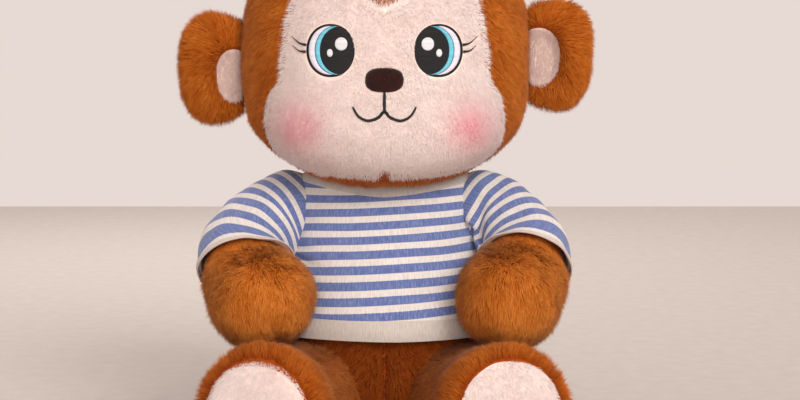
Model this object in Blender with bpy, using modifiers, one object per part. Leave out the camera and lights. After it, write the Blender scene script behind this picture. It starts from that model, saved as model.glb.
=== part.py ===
"""Sitting stuffed monkey in a striped T-shirt, cut, stuffed and sewn from plush fabric.

Metres, +Z up. The monkey sits on z = 0 and faces -Y, so its own left side is +X. The origin is the
middle of its flat seat. Head, arms, legs, ears and tail are stuffed separately and turn on their seams.
"""

import math

import bmesh
import bpy
from mathutils import Matrix, Vector

MM = 0.001
GAP = 0.5 * MM  # air left between pieces that touch
SLACK = 1.5 * MM  # air left around the stuffing
PLUSH = 2.6 * MM  # fabric backing with the dense foot of its pile
JERSEY = 1.3 * MM  # T-shirt knit
THREAD = 1.2 * MM  # height of the embroidery
SIDES = ((1, "left"), (-1, "right"))

# Soft forms as rows of (height, rise to the back, half width, front, back), in mm.
HEAD_ROWS = (
    (223, 8, 34, -34, 34),
    (225, 14, 52, -62, 44),
    (231, 14, 69, -80, 56),
    (240, 12, 85, -91, 68),
    (252, 10, 99, -98, 78),
    (270, 6, 110, -101, 88),
    (295, 3, 114.5, -98, 94),
    (324, 0, 115.5, -92, 96),
    (356, 0, 112.5, -84, 91),
    (382, 0, 103.5, -71, 80),
    (401, 0, 87.5, -55, 64),
    (415, 0, 62, -37, 45),
    (423, 0, 28, -16, 22),
)
TORSO_ROWS = (
    (0, 0, 58, -48, 46),
    (4, 0, 74, -63, 58),
    (18, 0, 87, -75, 68),
    (48, 0, 92, -80, 73),
    (84, 0, 91, -79, 71),
    (118, 0, 87, -74, 66),
    (150, 0, 81, -66, 59),
    (178, 0, 74.5, -56, 51),
    (194, 0, 66, -49, 45),
    (203, 0, 55.5, -44.5, 42),
    (209, 0, 46, -40, 38.5),
    (214, 0, 38, -34, 34),
)
SHIRT_ROWS = (
    (114.2, 0, 95.2, -84, 74.2),
    (124, 0, 93, -80.5, 72),
    (138, 0, 89.5, -75.5, 68.5),
    (158, 0, 84.5, -68.5, 62.5),
    (178, 0, 79, -60.5, 55.5),
    (193, 0, 71.5, -53, 49),
    (201, 0, 62.5, -48.8, 46),
    (206, 0, 56.5, -46.4, 44),
)
HEM_ROWS = (
    (113.6, 0, 96.2, -85, 75.2),
    (105, 0, 97.6, -86.8, 76.6),
    (97.5, 0, 97.4, -86.8, 76.8),
)
COLLAR_ROWS = (
    (206.6, 0, 55.2, -45.4, 42.8),
    (211, 0, 50.5, -42.8, 40.4),
    (216, 0, 44, -39.5, 37.8),
)
HEAD_SIDES = 24
TORSO_SIDES = 20
LIMB_SIDES = 12
FOOT_SIDES = 16
TAIL_SIDES = 8
EAR_SIDES = 14
SLEEVE_SIDES = 14

# Where the stuffed pieces turn, and how thick they are there.
NECK = Vector((0, 0, 219)) * MM
NECK_BALL = 27 * MM
SHOULDER = Vector((80, -4, 191)) * MM
SHOULDER_BALL = 27 * MM
SLEEVE_BALL = 31.5 * MM
HIP = Vector((56, -42, 44.6)) * MM
HIP_BALL = 44 * MM
EAR_ROOT_X = 126 * MM
EAR_ROOT = 10 * MM
EAR_HEIGHT = {"left": 320 * MM, "right": 309.5 * MM}  # this one was sewn on a little lopsided
TAIL_ROOT = Vector((0, 68, 27)) * MM
TAIL_RADIUS = 12.5 * MM

# Stations along the limbs as (x, y, z, radius), in mm, for the left side.
ARM_STATIONS = ((80, -4, 191, 27), (99, -19, 179, 29), (113, -43, 162, 31), (108, -67, 146, 36.5), (99, -84, 137, 39.5))
ARM_STOPS = (0, 1, 2, 3, 4)
SLEEVE_STOPS = (0, 1, 2)
CUFF_STOPS = (2, 2.34)
SLEEVE_SPARE = 4.5  # room between arm and sleeve
CUFF_SPARE = 6.6  # the cuff is a band around the end of the sleeve
ARM_TURNS = (14, 28, 42)  # degrees that an arm opens by, where its pocket is widened
LEG_TURNS = (8, 17, 25)  # and the same for a leg
LEG_STOPS = (0, 1, 2, 3)
LEG_STATIONS = ((56, -42, 44.6, 44), (68, -78, 45, 43.5), (80, -114, 47.6, 45), (90, -146, 52.4, 49.5))
SOLE_TALL = 1.04  # a foot is a little taller than it is wide
FOOT_END = ((9, 0.985), (16, 0.92), (21, 0.74), (23.2, 0.4))
SOLE_PAD = 0.85  # the pad's share of the foot's width
PAW_END = ((15, 0.94), (27, 0.73), (35.5, 0.38))
TAIL_STATIONS = ((0, 68, 27), (0, 88, 20), (4, 108, 15.5), (18, 132, 13.6), (42, 147, 13.2), (68, 146, 13), (84, 128, 13))
EAR_RINGS = (
    (-8, 34, 6), (-4.5, 36.5, 8.9), (0, 38.5, 10), (9, 41.5, 10.8), (18, 42, 11), (27, 38.5, 10.6), (33.5, 31, 9), (38, 18, 5.5),
)  # out from the root, half height, half depth
EAR_PANEL = (-4, 0, 15, 23)

# Face, as seen from the front, in mm.
FACE_OUTLINE = (
    (0, 362), (12, 367), (32, 379.5), (50, 383), (65, 376), (72.5, 364), (77, 345), (80.5, 321), (82, 304),
    (89, 293), (94, 275), (92.5, 255), (82, 239), (61, 230.5), (32, 227), (0, 226.5),
)
EYE = Vector((41.5, 326))
EYE_HALF = Vector((18.6, 20.2))
BLUE_SHIFT = 5.2
PUPIL_SHIFT = 9.2
GLINT_BIG = (-8.5, 5, 4.8, 4.9)
GLINT_SMALL = (0, -2, 2, 2.8)
NOSE = Vector((0, 303.5))
NOSE_HALF = Vector((15, 9.3))
NOSE_HIGH = 4.2 * MM
LASHES = (((61.2, 330), (66, 331.4), (72, 336.4)), ((61.4, 324.8), (66, 325.4), (71, 329.2)))
LASH_WIDE = 1.7
SMILE = (
    ((0, 293.5), (0, 278.5)),
    ((0, 279.5), (-4.6, 275), (-12.5, 272.6), (-20, 275.6), (-24.3, 282.6)),
    ((0, 279.5), (4.6, 275), (12.5, 272.6), (20, 275.6), (24.3, 282.6)),
)
SMILE_WIDE = 2.2


def clear_scene():
    for old in list(bpy.data.objects):
        bpy.data.objects.remove(old)


def collection(name):
    made = bpy.data.collections.new(name)
    bpy.context.scene.collection.children.link(made)
    return made


def plush(name, rgb, rough=0.95, metallic=0.0):
    """A cloth, thread or stuffing colour as a Principled material."""
    made = bpy.data.materials.new(name)
    made.use_nodes = True
    shader = made.node_tree.nodes["Principled BSDF"]
    shader.inputs["Base Color"].default_value = (*rgb, 1)
    shader.inputs["Roughness"].default_value = rough
    shader.inputs["Metallic"].default_value = metallic
    return made


def mirrored(point, side):
    return Vector((point.x * side, point.y, point.z))


def place(name, mesh, material=None, at=None):
    """A new object from a mesh whose vertices are in world space, with its origin moved to at."""
    made = bpy.data.objects.new(name, mesh)
    if at is not None:
        mesh.transform(Matrix.Translation(-at))
        made.location = at
    if material is None:
        cutters.objects.link(made)
        made.hide_render = True
        made.display_type = "WIRE"
    else:
        pieces.objects.link(made)
        mesh.materials.append(material)
        mesh.shade_smooth()
    return made


def from_bmesh(name, form):
    bmesh.ops.recalc_face_normals(form, faces=form.faces)
    mesh = bpy.data.meshes.new(name)
    form.to_mesh(mesh)
    form.free()
    return mesh


def oval_point(angle, power):
    """A point of the unit superellipse of this power."""
    c, s = math.cos(angle), math.sin(angle)
    return math.copysign(abs(c) ** (2 / power), c), math.copysign(abs(s) ** (2 / power), s)


def loft(name, rings, sides, start_open=False, end_open=False, grow=0.0):
    """A skin through rings of (centre, half width vector, half depth vector, power), grown along its normals."""
    form = bmesh.new()
    loops = []
    for centre, across, along, power in rings:
        points = [oval_point(2 * math.pi * i / sides, power) for i in range(sides)]
        loops.append([form.verts.new(centre + across * c + along * s) for c, s in points])
    for one, two in zip(loops, loops[1:]):
        for i in range(sides):
            j = (i + 1) % sides
            form.faces.new((one[i], one[j], two[j], two[i]))
    caps = []
    if not start_open:
        caps.append(form.faces.new(loops[0][::-1]))
    if not end_open:
        caps.append(form.faces.new(loops[-1]))
    bmesh.ops.recalc_face_normals(form, faces=form.faces)
    outward = sum(f.normal.dot(f.calc_center_median() - loops_middle(loops)) for f in form.faces)
    if outward < 0:
        bmesh.ops.reverse_faces(form, faces=form.faces)
    form.normal_update()
    for v in form.verts:
        v.co += v.normal * grow
    bmesh.ops.triangulate(form, faces=caps)
    mesh = bpy.data.meshes.new(name)
    form.to_mesh(mesh)
    form.free()
    return mesh


def loops_middle(loops):
    points = [v.co for loop in loops for v in loop]
    return sum(points, Vector()) / len(points)


def upright(rows, power=2.0):
    """Rings of a form that stands on the floor, from its rows in mm."""
    rings = []
    for height, rise, half, front, back in rows:
        centre = Vector((0, (front + back) / 2, height)) * MM
        along = Vector((0, (back - front) / 2, rise / 2)) * MM
        rings.append((centre, Vector((half * MM, 0, 0)), along, power))
    return rings


def on_path(path, t):
    """The centre, direction and radius at station t of a smooth path through stations of (centre, radius)."""
    i = min(int(t), len(path) - 2)
    u = t - i
    near = [path[min(max(k, 0), len(path) - 1)] for k in (i - 1, i, i + 1, i + 2)]
    curve = (-u + 2 * u**2 - u**3, 2 - 5 * u**2 + 3 * u**3, u + 4 * u**2 - 3 * u**3, u**3 - u**2)
    slope = (-1 + 4 * u - 3 * u**2, -10 * u + 9 * u**2, 1 + 8 * u - 9 * u**2, 3 * u**2 - 2 * u)
    centre = sum((row[0] * w for row, w in zip(near, curve)), Vector()) / 2
    ahead = sum((row[0] * w for row, w in zip(near, slope)), Vector()).normalized()
    return centre, ahead, sum(row[1] * w for row, w in zip(near, curve)) / 2


def across_path(ahead):
    """The sideways and upward directions of the cross-section of a path that goes ahead."""
    sideways = ahead.cross(Vector((0, 0, 1))).normalized()
    return sideways, sideways.cross(ahead)


def tube(path, stops, tall=1.0, spare=0.0, root_angles=(), end=()):
    """Rings at these stations of a path, with room to spare around it, a ball root made of rings at these
    angles in degrees, and an end made of rings that go ahead by so many mm at a share of the last radius."""
    rings = []
    for t in stops:
        centre, ahead, radius = on_path(path, t)
        radius += spare * MM
        sideways, upward = across_path(ahead)
        high = radius * (1 + (tall - 1) * t / (len(path) - 1))
        if t == stops[0]:
            for angle in root_angles:
                turn = math.radians(angle)
                back = centre - ahead * radius * math.sin(turn)
                rings.append((back, sideways * radius * math.cos(turn), upward * high * math.cos(turn), 2.0))
        rings.append((centre, sideways * radius, upward * high, 2.0))
    for advance, share in end:
        rings.append((centre + ahead * advance * MM, sideways * radius * share, upward * high * share, 2.0))
    return rings


def turned(rings, pivot, degrees):
    """These rings turned about the upright line through a pivot."""
    spin = Matrix.Rotation(math.radians(degrees), 3, "Z")
    made = []
    for centre, across, along, power in rings:
        made.append((pivot + spin @ (centre - pivot), spin @ across, spin @ along, power))
    return made


def side_stations(table, side):
    return [(mirrored(Vector(row[:3]) * MM, side), row[3] * MM) for row in table]


def shell(thing, thickness):
    """Gives an open skin its fabric thickness, inwards."""
    solid = thing.modifiers.new("fabric", "SOLIDIFY")
    solid.thickness = thickness
    solid.offset = -1
    solid.use_even_offset = True
    return thing


def boolean(thing, other, operation="DIFFERENCE"):
    step = thing.modifiers.new(operation.lower(), "BOOLEAN")
    step.operation = operation
    step.object = other
    return thing


def ball(name, centre, radius, segments=24, rings=14, material=None):
    form = bmesh.new()
    bmesh.ops.create_uvsphere(form, u_segments=segments, v_segments=rings, radius=radius)
    mesh = from_bmesh(name, form)
    mesh.transform(Matrix.Translation(centre))
    return place(name, mesh, material, centre if material else None)


def prism(name, outline, near, far):
    """A solid with this front outline, in mm, between two depths along Y, used to cut or to cut out a panel."""
    form = bmesh.new()
    loop = [form.verts.new((x * MM, near, z * MM)) for x, z in outline]
    front = form.faces.new(loop)
    pushed = bmesh.ops.extrude_face_region(form, geom=[front])
    moved = [v for v in pushed["geom"] if isinstance(v, bmesh.types.BMVert)]
    bmesh.ops.translate(form, verts=moved, vec=(0, far - near, 0))
    return place(name, from_bmesh(name, form))


def oval(centre, half, count, power=2.0, lean=0.0):
    points = []
    for i in range(count):
        c, s = oval_point(2 * math.pi * i / count, power)
        points.append((centre[0] + half[0] * c + lean * s, centre[1] + half[1] * s))
    return points


def spline(points, per_span):
    """Points on a smooth curve through these points."""
    ends = [points[0], *points, points[-1]]
    made = []
    for a, b, c, d in zip(ends, ends[1:], ends[2:], ends[3:]):
        for step in range(per_span):
            t = step / per_span
            weights = (-t + 2 * t**2 - t**3, 2 - 5 * t**2 + 3 * t**3, t + 4 * t**2 - 3 * t**3, t**3 - t**2)
            made.append(tuple(sum(w * p[k] for w, p in zip(weights, (a, b, c, d))) / 2 for k in range(2)))
    return made + [tuple(points[-1])]


def ribbon(points, width, taper=False):
    """The outline of a stroke of this width along points, pointed at its far end if taper is set."""
    left, right = [], []
    for i, point in enumerate(points):
        before, after = points[max(i - 1, 0)], points[min(i + 1, len(points) - 1)]
        along = Vector((after[0] - before[0], after[1] - before[1])).normalized()
        half = width / 2 * (1 - 0.75 * i / (len(points) - 1) if taper else 1)
        left.append((point[0] - along.y * half, point[1] + along.x * half))
        right.append((point[0] + along.y * half, point[1] - along.x * half))
    return left + right[::-1]


def grown(outline, distance):
    """An outline moved outwards by a distance in mm."""
    count = len(outline)
    area = sum(a[0] * b[1] - b[0] * a[1] for a, b in zip(outline, outline[1:] + outline[:1]))
    turn = math.copysign(1, area)
    made = []
    for i, point in enumerate(outline):
        before, after = outline[i - 1], outline[(i + 1) % count]
        along = Vector((after[0] - before[0], after[1] - before[1])).normalized()
        made.append((point[0] + along.y * distance * turn, point[1] - along.x * distance * turn))
    return made


def flipped(outline, side):
    return [(x * side, z) for x, z in outline]


clear_scene()
pieces = collection("stuffed_monkey")
cutters = collection("cutters")

BROWN = plush("brown_plush", (0.42, 0.13, 0.025))
CREAM = plush("cream_plush", (0.86, 0.70, 0.62))
FILLING = plush("stuffing", (0.9, 0.9, 0.88))
STRIPES = plush("shirt_jersey", (0.30, 0.38, 0.70), 0.85)
WHITE_RIB = plush("shirt_rib", (0.86, 0.84, 0.80), 0.85)
BLACK_THREAD = plush("black_thread", (0.01, 0.01, 0.012), 0.5)
WHITE_THREAD = plush("white_thread", (0.85, 0.83, 0.86), 0.5)
BLUE_THREAD = plush("blue_thread", (0.16, 0.60, 0.74), 0.5)
VELVET = plush("nose_velvet", (0.055, 0.012, 0.008), 0.8)

# ---- head -----------------------------------------------------------------------------------------------
head_rings = upright(HEAD_ROWS, 2.15)
neck_pocket = ball("neck_pocket", NECK, NECK_BALL + 1.5 * MM, 16, 8)

outline_half = spline(FACE_OUTLINE, 1)
face_outline = outline_half + [(-x, z) for x, z in outline_half[-2:0:-1]]
FACE_NEAR, FACE_FAR = -0.14, -0.012
face_window = prism("face_window", face_outline, FACE_NEAR, FACE_FAR)
face_cut = prism("face_cut", grown(face_outline, -GAP / MM), FACE_NEAR, FACE_FAR)


def head_shell(name, material):
    thing = place(name, loft(name, head_rings, HEAD_SIDES, start_open=True), material, NECK)
    return shell(thing, PLUSH)


boolean(head_shell("head_skin", BROWN), face_window)
boolean(head_shell("face_panel", CREAM), face_cut, "INTERSECT")
head_filling = place("head_stuffing", loft("head_stuffing", head_rings, HEAD_SIDES, grow=-PLUSH - SLACK), FILLING, NECK)
boolean(head_filling, neck_pocket)
ball("neck_plug", NECK, NECK_BALL, 14, 8, FILLING)

# ---- embroidery on the face: patches of a thin skin that lies on the face panel ------------------------------


def on_face(name, outline, material, high=THREAD, join=None):
    """A patch with this outline, and that of the cutter it is joined with, standing high over the face panel."""
    rings = upright(HEAD_ROWS, 2.15)
    thing = place(name, loft(name, rings, HEAD_SIDES, start_open=True, grow=GAP + high), material, NECK)
    shell(thing, high)
    punch = prism(name + "_cut", outline, FACE_NEAR, FACE_FAR)
    if join:
        boolean(punch, join, "UNION")
    return boolean(thing, punch, "INTERSECT")


THREAD_GAP = 0.35
RIM = 2.6  # black outline around the eye, in mm
OPENING = (EYE_HALF.x - RIM, EYE_HALF.y - RIM)


def eye_disc(name, side, shift, change):
    """A cutter with the outline of the eye's opening, shifted towards the nose and grown by change."""
    half = (OPENING[0] + change, OPENING[1] + change)
    return prism(name, flipped(oval((EYE.x - shift, EYE.y), half, 16, 2.1), side), FACE_NEAR, FACE_FAR)


big_glint = oval((EYE.x + GLINT_BIG[0], EYE.y + GLINT_BIG[1]), GLINT_BIG[2:], 10)
small_glint = oval((EYE.x + GLINT_SMALL[0], EYE.y + GLINT_SMALL[1]), GLINT_SMALL[2:], 8)

for side, word in SIDES:
    black = on_face(f"eye_black_{word}", flipped(oval(EYE, EYE_HALF, 16, 2.1), side), BLACK_THREAD)
    window = boolean(eye_disc(f"eye_window_{word}", side, 0, 0), eye_disc(f"pupil_cut_{word}", side, PUPIL_SHIFT, 0))
    boolean(black, window)
    for label, hole in (("big", big_glint), ("small", small_glint)):
        name = f"eye_{label}_hole_{word}"
        boolean(black, prism(name, flipped(hole, side), FACE_NEAR, FACE_FAR))
    half = (OPENING[0] - THREAD_GAP, OPENING[1] - THREAD_GAP)
    inside = flipped(oval(EYE, half, 16, 2.1), side)
    white = on_face(f"eye_white_{word}", inside, WHITE_THREAD)
    boolean(white, eye_disc(f"white_cut_{word}", side, BLUE_SHIFT, THREAD_GAP / 2))
    blue = on_face(f"eye_blue_{word}", inside, BLUE_THREAD)
    boolean(blue, eye_disc(f"blue_edge_{word}", side, BLUE_SHIFT, -THREAD_GAP / 2), "INTERSECT")
    boolean(blue, eye_disc(f"blue_cut_{word}", side, PUPIL_SHIFT, THREAD_GAP))
    on_face(f"eye_glint_big_{word}", flipped(grown(big_glint, -THREAD_GAP), side), WHITE_THREAD)
    on_face(f"eye_glint_small_{word}", flipped(grown(small_glint, -THREAD_GAP), side), WHITE_THREAD)
    for number, lash in enumerate(LASHES, 1):
        stroke = ribbon(spline(lash, 2), LASH_WIDE, taper=True)
        on_face(f"lash_{number}_{word}", flipped(stroke, side), BLACK_THREAD)

on_face("nose", oval(NOSE, NOSE_HALF, 16, 2.7), VELVET, high=NOSE_HIGH)
lips = spline(SMILE[1][::-1], 2) + spline(SMILE[2], 2)[1:]
stem = prism("smile_stem", ribbon(SMILE[0], SMILE_WIDE), FACE_NEAR, FACE_FAR)
smile = on_face("smile", ribbon(lips, SMILE_WIDE), BLACK_THREAD, join=stem)

# ---- ears -----------------------------------------------------------------------------------------------------


def ear_rings(side, word):
    rings = []
    for out, high, deep in EAR_RINGS:
        centre = Vector((side * (EAR_ROOT_X + out * MM), 0, EAR_HEIGHT[word]))
        rings.append((centre, Vector((0, 0, high)) * MM, Vector((0, deep, 0)) * MM, 2.2))
    return rings


for side, word in SIDES:
    root = Vector((side * EAR_ROOT_X, 0, EAR_HEIGHT[word]))
    rings = ear_rings(side, word)
    middle = (EAR_ROOT_X / MM + EAR_PANEL[0], EAR_HEIGHT[word] / MM + EAR_PANEL[1])
    patch = flipped(oval(middle, EAR_PANEL[2:], 16), side)
    for name, material in ((f"ear_skin_{word}", BROWN), (f"ear_panel_{word}", CREAM)):
        thing = place(name, loft(name, rings, EAR_SIDES, start_open=True), material, root)
        shell(thing, PLUSH)
        if material is BROWN:
            boolean(thing, prism(name + "_window", patch, -0.03, 0))
        else:
            boolean(thing, prism(name + "_cut", grown(patch, -GAP / MM), -0.03, 0), "INTERSECT")
    name = f"ear_stuffing_{word}"
    place(name, loft(name, rings, EAR_SIDES, grow=-PLUSH - SLACK), FILLING, root)

# ---- limbs: their rings are used for the limbs and for the pockets they turn in ------------------------------


def cutter_loft(name, rings, sides, grow):
    return place(name, loft(name, rings, sides, grow=grow))


sockets = {"torso": [ball("neck_socket", NECK, NECK_BALL + 1.5 * MM, 16, 8)], "shirt": []}
for side, word in SIDES:
    path = side_stations(ARM_STATIONS, side)
    shoulder = mirrored(SHOULDER, side)
    rings = tube(path, ARM_STOPS, root_angles=(60, 30), end=PAW_END)
    shell(place(f"arm_skin_{word}", loft("arm", rings, LIMB_SIDES, start_open=True), BROWN, shoulder), PLUSH)
    filled = loft("arm_filling", rings, LIMB_SIDES, grow=-PLUSH - SLACK)
    place(f"arm_stuffing_{word}", filled, FILLING, shoulder)
    rings = tube(path, SLEEVE_STOPS, spare=SLEEVE_SPARE, root_angles=(50, 25))
    shell(place(f"sleeve_{word}", loft("sleeve", rings, SLEEVE_SIDES, True, True), STRIPES, shoulder), JERSEY)
    sockets["torso"].append(ball(f"shoulder_socket_{word}", shoulder, SLEEVE_BALL + 2.2 * MM, 16, 10))
    room = tube(path, (*SLEEVE_STOPS, 2.4), spare=SLEEVE_SPARE + 0.4, root_angles=(50, 25))
    sockets["torso"].append(cutter_loft(f"sleeve_room_{word}", room, SLEEVE_SIDES, GAP))
    for number, degrees in enumerate(ARM_TURNS, 1):
        swung = turned(room, shoulder, side * degrees)
        sockets["torso"].append(cutter_loft(f"sleeve_room_{word}_{number}", swung, SLEEVE_SIDES, 2 * GAP))
    sockets["shirt"] += sockets["torso"][-2 - len(ARM_TURNS):]
    rings = tube(path, CUFF_STOPS, spare=CUFF_SPARE)
    shell(place(f"cuff_{word}", loft("cuff", rings, SLEEVE_SIDES, True, True), WHITE_RIB, shoulder), JERSEY)

for side, word in SIDES:
    path = side_stations(LEG_STATIONS, side)
    hip = mirrored(HIP, side)
    rings = tube(path, LEG_STOPS, SOLE_TALL, root_angles=(66, 33), end=FOOT_END)
    foot, ahead, radius = on_path(path, len(path) - 1)
    sideways, upward = across_path(ahead)
    for name, material, share in ((f"leg_skin_{word}", BROWN, 0), (f"sole_pad_{word}", CREAM, GAP)):
        thing = place(name, loft(name, rings, FOOT_SIDES, start_open=True), material, hip)
        shell(thing, PLUSH)
        across = sideways * (radius * SOLE_PAD - share)
        along = upward * (radius * SOLE_TALL * SOLE_PAD - share)
        ends = [(foot + ahead * reach * MM, across, along, 2.0) for reach in (4, 60)]
        punch = cutter_loft(name + "_punch", ends, FOOT_SIDES, 0)
        boolean(thing, punch, "INTERSECT" if share else "DIFFERENCE")
    name = f"leg_stuffing_{word}"
    place(name, loft(name, rings, FOOT_SIDES, grow=-PLUSH - SLACK), FILLING, hip)
    sockets["torso"].append(ball(f"hip_socket_{word}", hip, HIP_BALL + 1.5 * MM, 16, 10))
    room = rings[:-len(FOOT_END)]
    sockets["torso"].append(cutter_loft(f"leg_room_{word}", room, FOOT_SIDES, GAP))
    for number, degrees in enumerate(LEG_TURNS, 1):
        swung = turned(room, hip, side * degrees)
        sockets["torso"].append(cutter_loft(f"leg_room_{word}_{number}", swung, FOOT_SIDES, 2 * GAP))

path = [(Vector(row) * MM, TAIL_RADIUS) for row in TAIL_STATIONS]
rings = tube(path, range(len(path)), root_angles=(50, 25), end=((6, 0.88), (10, 0.6)))
shell(place("tail_skin", loft("tail_skin", rings, TAIL_SIDES, start_open=True), BROWN, TAIL_ROOT), PLUSH)
place("tail_stuffing", loft("tail_stuffing", rings, TAIL_SIDES, grow=-PLUSH - SLACK), FILLING, TAIL_ROOT)
sockets["torso"].append(ball("tail_socket", TAIL_ROOT, TAIL_RADIUS + 2 * MM, 12, 8))
sockets["torso"].append(cutter_loft("tail_room", rings, TAIL_SIDES, 2 * GAP))

# ---- body and T-shirt ---------------------------------------------------------------------------------------
torso_rings = upright(TORSO_ROWS)
base = Vector((0, 0, 0))
torso = place("torso_skin", loft("torso_skin", torso_rings, TORSO_SIDES, end_open=True), BROWN, base)
shell(torso, PLUSH)
filling = place("torso_stuffing", loft("torso_stuffing", torso_rings, TORSO_SIDES, grow=-PLUSH - SLACK), FILLING, base)
for socket in sockets["torso"]:
    boolean(torso, socket)
    boolean(filling, socket)
for name, rows, material in (
    ("shirt_body", SHIRT_ROWS, STRIPES),
    ("shirt_hem", HEM_ROWS, WHITE_RIB),
    ("shirt_collar", COLLAR_ROWS, WHITE_RIB),
):
    thing = place(name, loft(name, upright(rows), TORSO_SIDES, True, True), material, base)
    shell(thing, JERSEY)
    if name != "shirt_hem":
        for socket in sockets["shirt"]:
            boolean(thing, socket)
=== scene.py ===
"""A sitting stuffed monkey in a striped T-shirt: plush with a real pile, embroidery and jersey.

Metres throughout. The monkey faces -Y, its own left side is +X. Soft forms are smooth lofts through the CAD's
proportions. Every pile is made of single fibres, thin three-sided spikes that lie along a combing direction.
"""

import math

import bpy
import numpy as np
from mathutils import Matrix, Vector
from mathutils.bvhtree import BVHTree


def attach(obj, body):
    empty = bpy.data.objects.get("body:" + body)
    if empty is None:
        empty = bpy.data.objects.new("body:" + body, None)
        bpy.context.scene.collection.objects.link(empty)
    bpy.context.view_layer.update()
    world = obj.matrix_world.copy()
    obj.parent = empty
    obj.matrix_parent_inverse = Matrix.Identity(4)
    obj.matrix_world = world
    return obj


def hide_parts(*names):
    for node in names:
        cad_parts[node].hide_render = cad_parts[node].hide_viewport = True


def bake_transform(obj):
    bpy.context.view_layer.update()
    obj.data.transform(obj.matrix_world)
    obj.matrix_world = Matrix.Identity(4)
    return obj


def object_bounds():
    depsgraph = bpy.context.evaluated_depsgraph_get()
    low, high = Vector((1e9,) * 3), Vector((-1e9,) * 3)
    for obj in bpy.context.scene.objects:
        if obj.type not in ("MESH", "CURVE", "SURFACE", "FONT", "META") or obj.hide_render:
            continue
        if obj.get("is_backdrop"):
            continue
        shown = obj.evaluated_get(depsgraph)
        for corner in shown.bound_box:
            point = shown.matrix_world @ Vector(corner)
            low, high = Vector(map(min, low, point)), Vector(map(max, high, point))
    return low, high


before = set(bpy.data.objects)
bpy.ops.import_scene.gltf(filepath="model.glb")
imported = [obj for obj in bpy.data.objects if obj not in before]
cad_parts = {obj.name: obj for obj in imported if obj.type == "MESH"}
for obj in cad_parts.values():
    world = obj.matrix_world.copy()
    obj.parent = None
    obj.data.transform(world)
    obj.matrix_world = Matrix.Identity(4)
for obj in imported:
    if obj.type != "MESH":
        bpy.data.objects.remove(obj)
cad_low, cad_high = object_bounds()

MM = 0.001
UP = np.array([0.0, 0.0, 1.0])
SIDES = ((1, "left"), (-1, "right"))
BROWN, CREAM = "brown_plush", "cream_plush"
rng = np.random.default_rng(20)

# ---- shapes of the stuffed forms, in mm ----
# Rows of (height, rise to the back, half width, front, back).
HEAD_ROWS = (
    (224.2, 8, 4, -6, 6), (224, 8, 34, -34, 34), (226.5, 14, 52, -60, 44), (232, 14, 69, -78, 56),
    (241, 12, 84, -89, 67), (253, 10, 98, -96, 78), (270, 6, 108.5, -99.5, 87), (295, 3, 113, -96.5, 93),
    (324, 0, 114, -90.5, 94.5), (356, 0, 111, -82.5, 89.5), (382, 0, 102, -69.5, 78.5), (401, 0, 86, -53.5, 62.5),
    (414, 0, 61, -36, 44), (421.5, 0, 30, -17, 23), (423, 0, 3, 2, 6),
)
HEAD_POWER, BODY_POWER = 2.15, 2.1  # how square the cross-sections are; 2 is an ellipse
HEAD_SPLITS = (-1.0, -0.055, 0.0, 0.055, 1.0)  # metres along x, where the head's pile is cut into pieces
TORSO_ROWS = (
    (1.2, 0, 4, -4, 4), (1.0, 0, 56, -46, 44), (5, 0, 73, -61.5, 56.5), (18, 0, 85.5, -73.5, 66.5),
    (48, 0, 90.5, -78.5, 71.5), (84, 0, 89.5, -77.5, 69.5), (118, 0, 85.5, -72.5, 64.5),
    (150, 0, 79.5, -64.5, 57.5), (178, 0, 73, -54.5, 49.5), (194, 0, 64.5, -47.5, 43.5),
    (203, 0, 54, -43, 40.5), (209, 0, 44.5, -38.5, 37), (214, 0, 34, -30, 30), (215, 0, 3, -3, 3),
)
NECK_ROWS = (
    (193, 0, 4, -4, 4), (194, 0, 15, -15, 15), (204, 0, 23, -23, 23),
    (219, 0, 27, -27, 27), (234, 0, 23, -23, 23), (245, 0, 4, -4, 4),
)
SHIRT_ROWS = (
    (113, 0, 95.4, -84.2, 74.4), (124, 0, 93.4, -81, 72.4), (138, 0, 90, -76, 69), (158, 0, 85, -69, 63),
    (178, 0, 79.5, -61, 56), (193, 0, 72.5, -54, 50), (202, 0, 64, -50, 47), (211, 0, 54, -45.5, 43),
)
HEM_ROWS = ((97.6, 0, 96.2, -86, 76), (105, 0, 97.3, -86.6, 76.8), (113.6, 0, 96.2, -85.2, 75.4))
COLLAR_ROWS = ((207.6, 0, 58, -47.8, 45), (211.5, 0, 54, -45.8, 43.4), (217.5, 0, 47, -41.6, 40))
# Stations along the left limbs as (x, y, z, radius).
ARM = ((80, -4, 191, 27), (99, -19, 179, 29), (112, -43, 162, 30.5), (106, -67, 145, 34), (98, -84, 134, 37))
PAW_END = 39.0
SLEEVE_END = 2.32  # in stations of the arm
OVER_PAW = {"left": 8, "right": 14}  # how far the sleeve's top edge reaches over the paw
LEG = ((56, -42, 44.6, 42.6), (68, -78, 45, 42.2), (80, -114, 47.6, 43.6), (90, -146, 52.4, 48))
SOLE_END, SOLE_POWER = 23.4, 5.5
SOLE_TALL, SOLE_SHARE = 1.04, 0.84  # height to width, and how much of the foot's end the pad covers
TAIL = ((0, 66, 27), (0, 88, 20), (4, 108, 15.5), (18, 132, 13.6), (42, 147, 13.2), (68, 146, 13), (84, 128, 13))
TAIL_RADIUS = 11.0
EAR_ROOT = {"left": (126, 320), "right": (126, 309.5)}
EAR_RINGS = (
    (-9.6, 20, 0.6), (-9.3, 31, 3), (-8, 34, 6), (-4.5, 36.2, 8.7), (0, 38.2, 9.8), (9, 41, 10.6),
    (18, 41.5, 10.8), (27, 38, 10.2), (33.3, 31, 8.6), (37.6, 19, 5.2), (39, 4, 1.2),
)
EAR_PANEL = {"left": (-1, -1, 17.5, 24), "right": (-2.5, -6, 14.5, 22)}
FACE = (
    (0, 362), (12, 367), (32, 379.5), (50, 383), (65, 376), (72.5, 364), (77, 345), (80.5, 321), (82, 304),
    (89, 293), (94, 275), (92.5, 255), (82, 239), (61, 230.5), (32, 227), (0, 226.2),
)
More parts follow.
